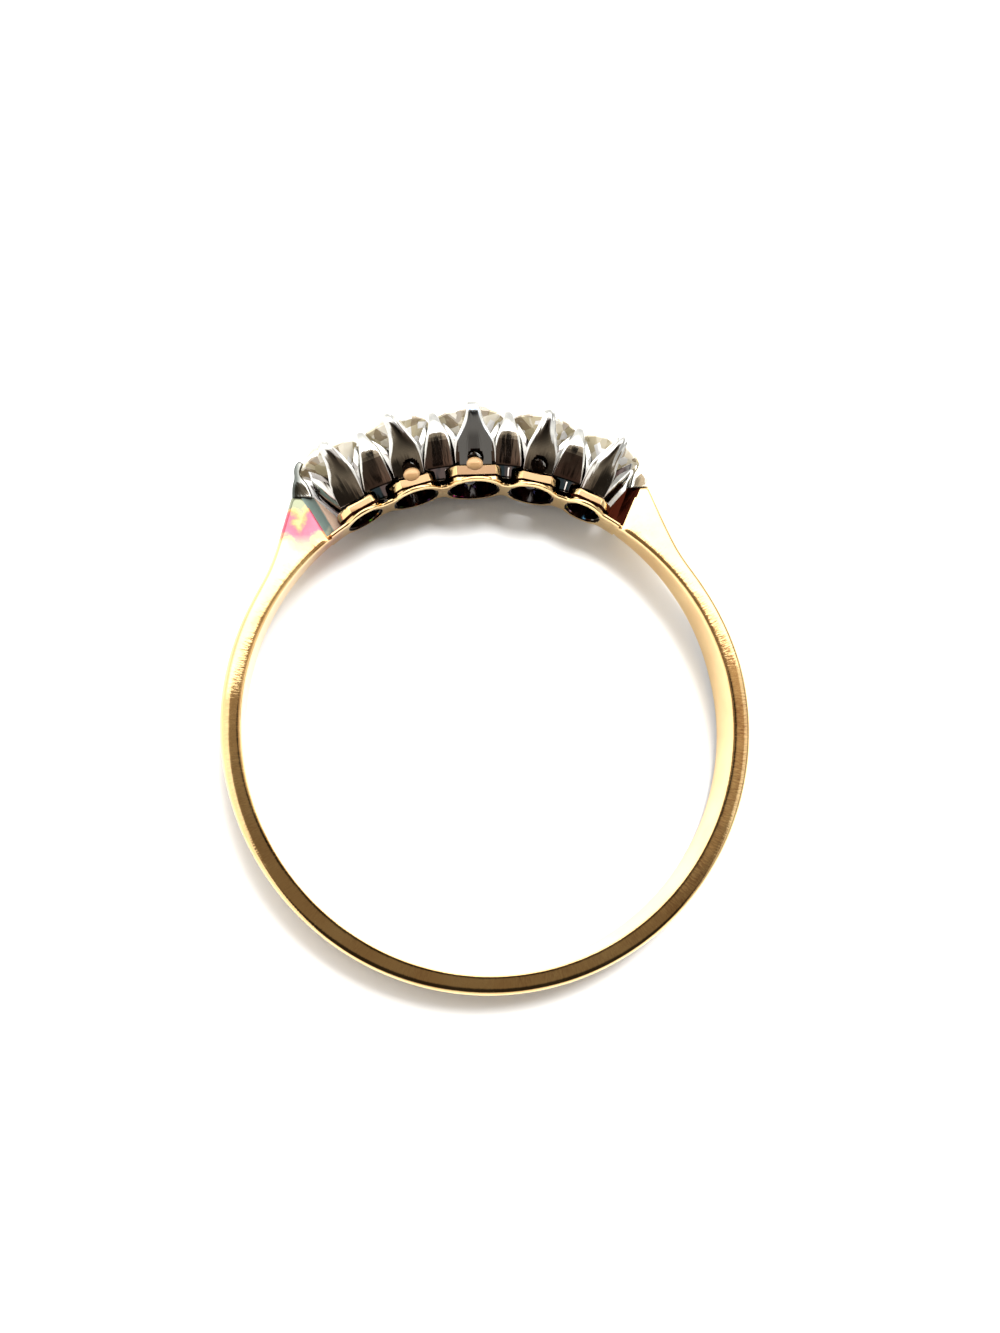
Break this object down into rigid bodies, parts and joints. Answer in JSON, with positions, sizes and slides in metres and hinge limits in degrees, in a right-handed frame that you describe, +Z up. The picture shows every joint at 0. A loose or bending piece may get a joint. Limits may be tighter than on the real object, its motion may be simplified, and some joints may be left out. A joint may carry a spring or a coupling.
{
  "type": "five stone ring",
  "caption": "Finger ring with a row of round clear stones in white claws on a flared yellow gold band, lying on its side.",
  "frame": {"origin": "centre of the finger hole, midway through the hoop's width", "axes": "+Z up from the surface the ring lies on and nearly along the finger, +Y towards the stones, +X along the row of stones. The finger axis leans 2 degrees from Z towards -Y, because the ring rests on the foot of the hoop and on the wider head."},
  "size_m": [0.0188, 0.0212, 0.0032],
  "materials": {
    "yellow_gold": "polished 18 carat yellow gold, worn soft, with fine hairline scratches on the sides",
    "white_metal": "polished platinum, slightly grey, with soft worn claw tips",
    "clear_stone": "polished old-cut diamond, clear with a faint warm tint"
  },
  "bodies": {
    "root": {"shank": "yellow_gold", "claw_setting": "white_metal", "stone_1": "clear_stone", "stone_2": "clear_stone", "stone_3": "clear_stone", "stone_4": "clear_stone", "stone_5": "clear_stone"}
  },
  "joints": []
}
